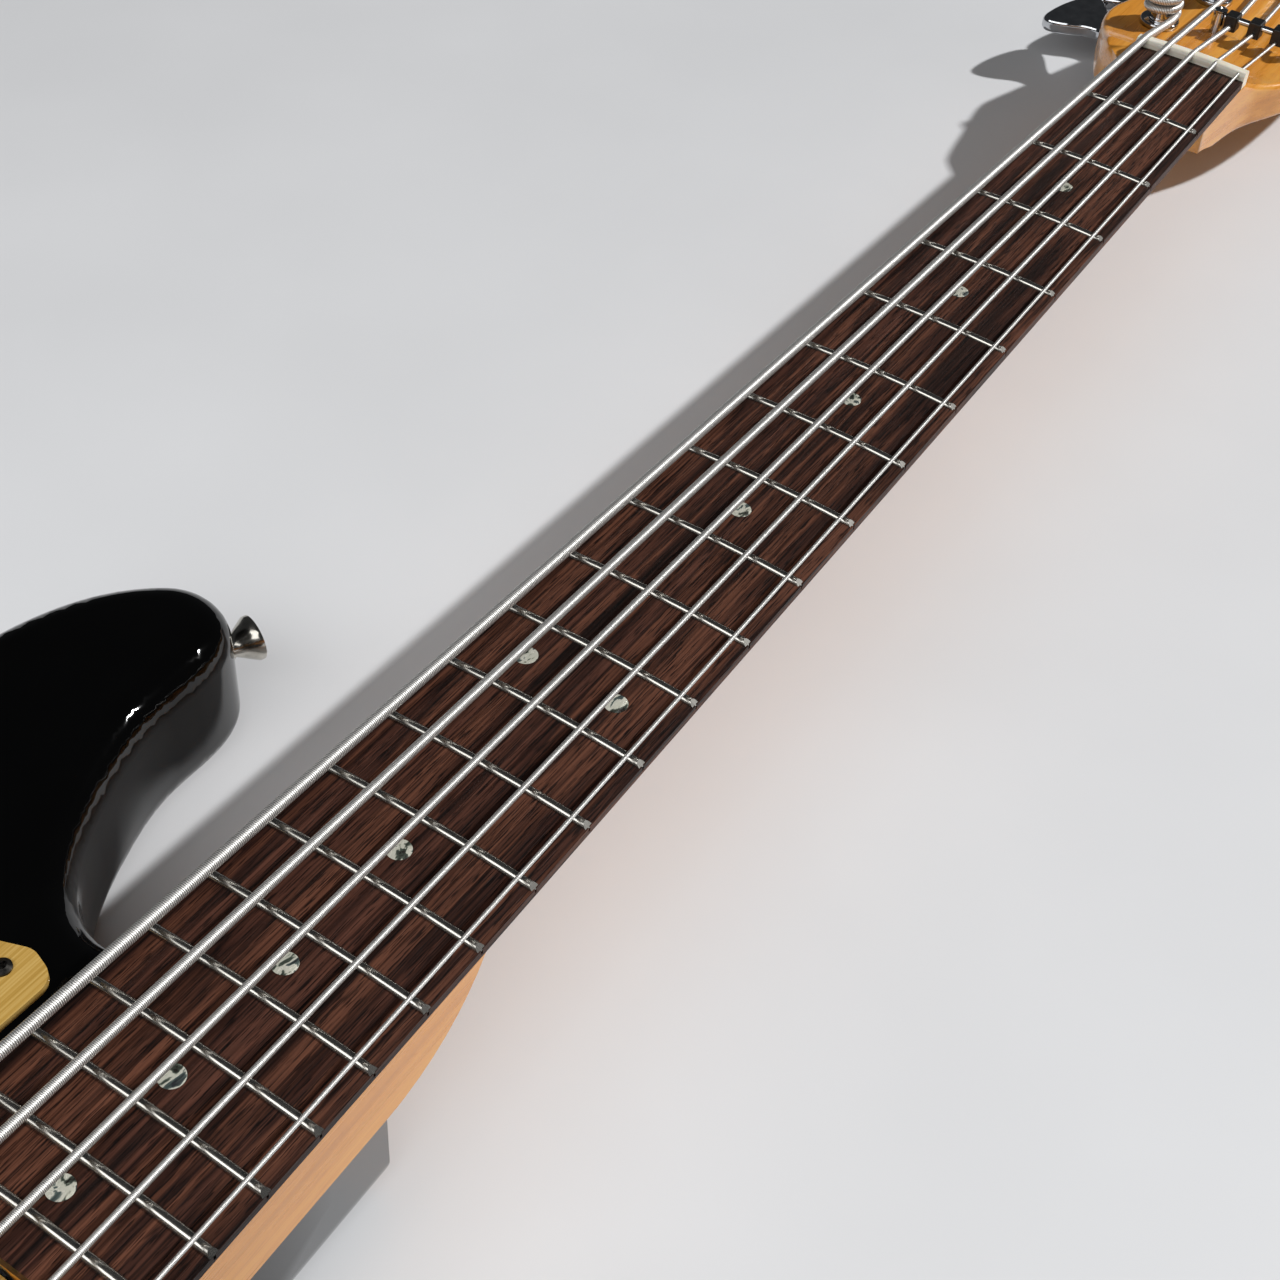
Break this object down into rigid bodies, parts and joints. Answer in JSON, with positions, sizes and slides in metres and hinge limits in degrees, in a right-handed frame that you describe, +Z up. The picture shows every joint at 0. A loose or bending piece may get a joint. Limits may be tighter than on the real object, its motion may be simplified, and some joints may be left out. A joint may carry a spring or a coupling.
{
  "type": "electric bass guitar",
  "caption": "Solid-body electric bass guitar with a bolt-on fretted neck, wound strings on geared tuners, pickups, an adjustable bridge, control knobs and an output jack.",
  "frame": {"origin": "on the flat back of the body, on the centre line under the end of the scale at the bridge", "axes": "+X along the neck to the headstock, +Y to the low-string side, +Z up from the back through the strings"},
  "size_m": [1.1757, 0.3322, 0.0644],
  "materials": {
    "black_lacquer": "gloss black lacquer over wood",
    "maple": "amber gloss lacquer over maple",
    "rosewood": "open-grained, oiled",
    "nickel_silver": "polished",
    "pearl": "pearly, iridescent",
    "bone": "smooth bone",
    "chrome": "bright plated",
    "nickel": "plated, softly polished",
    "string_steel": "wound wire",
    "gold_aluminium": "brushed and gold anodised",
    "black_steel": "black oxide",
    "black_plastic": "moulded",
    "steel": "plain",
    "copper_coil": "lacquered wire",
    "capacitor_film": "dipped resin"
  },
  "bodies": {
    "instrument": {"string_b": "string_steel", "string_e": "string_steel", "string_a": "string_steel", "string_d": "string_steel", "string_g": "string_steel", "truss_rod": "steel", "neck_screws": "steel", "neck_ferrules": "chrome", "neck": "maple", "fingerboard": "rosewood", "position_dots": "pearl", "side_dots": "pearl", "frets": "nickel_silver", "nut": "bone", "tuner_bushings": "chrome", "tuner_housings": "chrome", "tuner_screws": "chrome", "string_retainer": "chrome", "retainer_blocks": "black_plastic", "neck_pickup_cover": "black_plastic", "bridge_pickup_cover": "black_plastic", "pickup_coils": "copper_coil", "pole_pieces": "steel", "pickup_screws": "chrome", "pickguard": "gold_aluminium", "pickguard_screws": "black_steel", "bridge_plate": "chrome", "bridge_screws": "chrome", "control_plate": "chrome", "potentiometers": "steel", "panel_nuts": "chrome", "output_jack": "steel", "tone_capacitor": "capacitor_film", "small_screws": "chrome", "strap_buttons": "nickel", "strap_button_screws": "nickel", "body": "black_lacquer"},
    "key_b": {"tuner_key_b": "chrome"},
    "post_b": {"tuner_post_b": "chrome"},
    "saddle_b": {"saddle_b": "nickel"},
    "screw_b": {"intonation_screw_b": "steel"},
    "key_e": {"tuner_key_e": "chrome"},
    "post_e": {"tuner_post_e": "chrome"},
    "saddle_e": {"saddle_e": "nickel"},
    "screw_e": {"intonation_screw_e": "steel"},
    "key_a": {"tuner_key_a": "chrome"},
    "post_a": {"tuner_post_a": "chrome"},
    "saddle_a": {"saddle_a": "nickel"},
    "screw_a": {"intonation_screw_a": "steel"},
    "key_d": {"tuner_key_d": "chrome"},
    "post_d": {"tuner_post_d": "chrome"},
    "saddle_d": {"saddle_d": "nickel"},
    "screw_d": {"intonation_screw_d": "steel"},
    "key_g": {"tuner_key_g": "chrome"},
    "post_g": {"tuner_post_g": "chrome"},
    "saddle_g": {"saddle_g": "nickel"},
    "screw_g": {"intonation_screw_g": "steel"},
    "volume_knob_neck": {"volume_knob_neck": "chrome"},
    "volume_knob_bridge": {"volume_knob_bridge": "chrome"},
    "tone_knob": {"tone_knob": "chrome"}
  },
  "joints": [
    {"name": "tuner_key_b_turn", "type": "hinge", "parent": "instrument", "child": "key_b", "pos_m": [0.91729, 0.02559, 0.0215], "axis": [0.2748, 0.9615, 0], "continuous": true, "deforming": ["string_b"]},
    {"name": "tuner_post_b_turn", "type": "hinge", "parent": "instrument", "child": "post_b", "pos_m": [0.9071, 0.0285, 0.0423], "axis": [0, 0, 1], "continuous": true, "deforming": ["string_b"]},
    {"name": "saddle_b_slide", "type": "slide", "parent": "instrument", "child": "saddle_b", "axis": [1, 0, 0], "range_m": [-0.003, 0.003], "deforming": ["string_b"]},
    {"name": "intonation_b_turn", "type": "hinge", "parent": "instrument", "child": "screw_b", "pos_m": [-0.036, 0.0365, 0.0497], "axis": [1, 0, 0], "continuous": true},
    {"name": "tuner_key_e_turn", "type": "hinge", "parent": "instrument", "child": "key_e", "pos_m": [0.95229, 0.01558, 0.0215], "axis": [0.2748, 0.9615, 0], "continuous": true, "deforming": ["string_e"]},
    {"name": "tuner_post_e_turn", "type": "hinge", "parent": "instrument", "child": "post_e", "pos_m": [0.9421, 0.0185, 0.0423], "axis": [0, 0, 1], "continuous": true, "deforming": ["string_e"]},
    {"name": "saddle_e_slide", "type": "slide", "parent": "instrument", "child": "saddle_e", "axis": [1, 0, 0], "range_m": [-0.003, 0.003], "deforming": ["string_e"]},
    {"name": "intonation_e_turn", "type": "hinge", "parent": "instrument", "child": "screw_e", "pos_m": [-0.036, 0.01825, 0.0497], "axis": [1, 0, 0], "continuous": true},
    {"name": "tuner_key_a_turn", "type": "hinge", "parent": "instrument", "child": "key_a", "pos_m": [0.98729, 0.00558, 0.0215], "axis": [0.2748, 0.9615, 0], "continuous": true, "deforming": ["string_a"]},
    {"name": "tuner_post_a_turn", "type": "hinge", "parent": "instrument", "child": "post_a", "pos_m": [0.9771, 0.00849, 0.0423], "axis": [0, 0, 1], "continuous": true, "deforming": ["string_a"]},
    {"name": "saddle_a_slide", "type": "slide", "parent": "instrument", "child": "saddle_a", "axis": [1, 0, 0], "range_m": [-0.003, 0.003], "deforming": ["string_a"]},
    {"name": "intonation_a_turn", "type": "hinge", "parent": "instrument", "child": "screw_a", "pos_m": [-0.036, 0, 0.0497], "axis": [1, 0, 0], "continuous": true},
    {"name": "tuner_key_d_turn", "type": "hinge", "parent": "instrument", "child": "key_d", "pos_m": [1.02229, -0.00442, 0.0215], "axis": [0.2748, 0.9615, 0], "continuous": true, "deforming": ["string_d"]},
    {"name": "tuner_post_d_turn", "type": "hinge", "parent": "instrument", "child": "post_d", "pos_m": [1.0121, -0.00151, 0.0423], "axis": [0, 0, 1], "continuous": true, "deforming": ["string_d"]},
    {"name": "saddle_d_slide", "type": "slide", "parent": "instrument", "child": "saddle_d", "axis": [1, 0, 0], "range_m": [-0.003, 0.003], "deforming": ["string_d"]},
    {"name": "intonation_d_turn", "type": "hinge", "parent": "instrument", "child": "screw_d", "pos_m": [-0.036, -0.01825, 0.0497], "axis": [1, 0, 0], "continuous": true},
    {"name": "tuner_key_g_turn", "type": "hinge", "parent": "instrument", "child": "key_g", "pos_m": [1.05729, -0.01442, 0.0215], "axis": [0.2748, 0.9615, 0], "continuous": true, "deforming": ["string_g"]},
    {"name": "tuner_post_g_turn", "type": "hinge", "parent": "instrument", "child": "post_g", "pos_m": [1.04709, -0.01151, 0.0423], "axis": [0, 0, 1], "continuous": true, "deforming": ["string_g"]},
    {"name": "saddle_g_slide", "type": "slide", "parent": "instrument", "child": "saddle_g", "axis": [1, 0, 0], "range_m": [-0.003, 0.003], "deforming": ["string_g"]},
    {"name": "intonation_g_turn", "type": "hinge", "parent": "instrument", "child": "screw_g", "pos_m": [-0.036, -0.0365, 0.0497], "axis": [1, 0, 0], "continuous": true},
    {"name": "volume_knob_neck_turn", "type": "hinge", "parent": "instrument", "child": "volume_knob_neck", "pos_m": [0.02427, -0.11013, 0.044], "axis": [0, 0, 1], "range_deg": [-150, 150]},
    {"name": "volume_knob_bridge_turn", "type": "hinge", "parent": "instrument", "child": "volume_knob_bridge", "pos_m": [0.05973, -0.10387, 0.044], "axis": [0, 0, 1], "range_deg": [-150, 150]},
    {"name": "tone_knob_turn", "type": "hinge", "parent": "instrument", "child": "tone_knob", "pos_m": [0.09518, -0.09762, 0.044], "axis": [0, 0, 1], "range_deg": [-150, 150]}
  ],
  "couplings": [
    {"joint": "tuner_post_b_turn", "follows": "tuner_key_b_turn", "ratio": 0.05},
    {"joint": "intonation_b_turn", "follows": "saddle_b_slide", "rad_per_m": 8976},
    {"joint": "tuner_post_e_turn", "follows": "tuner_key_e_turn", "ratio": 0.05},
    {"joint": "intonation_e_turn", "follows": "saddle_e_slide", "rad_per_m": 8976},
    {"joint": "tuner_post_a_turn", "follows": "tuner_key_a_turn", "ratio": 0.05},
    {"joint": "intonation_a_turn", "follows": "saddle_a_slide", "rad_per_m": 8976},
    {"joint": "tuner_post_d_turn", "follows": "tuner_key_d_turn", "ratio": 0.05},
    {"joint": "intonation_d_turn", "follows": "saddle_d_slide", "rad_per_m": 8976},
    {"joint": "tuner_post_g_turn", "follows": "tuner_key_g_turn", "ratio": 0.05},
    {"joint": "intonation_g_turn", "follows": "saddle_g_slide", "rad_per_m": 8976}
  ]
}
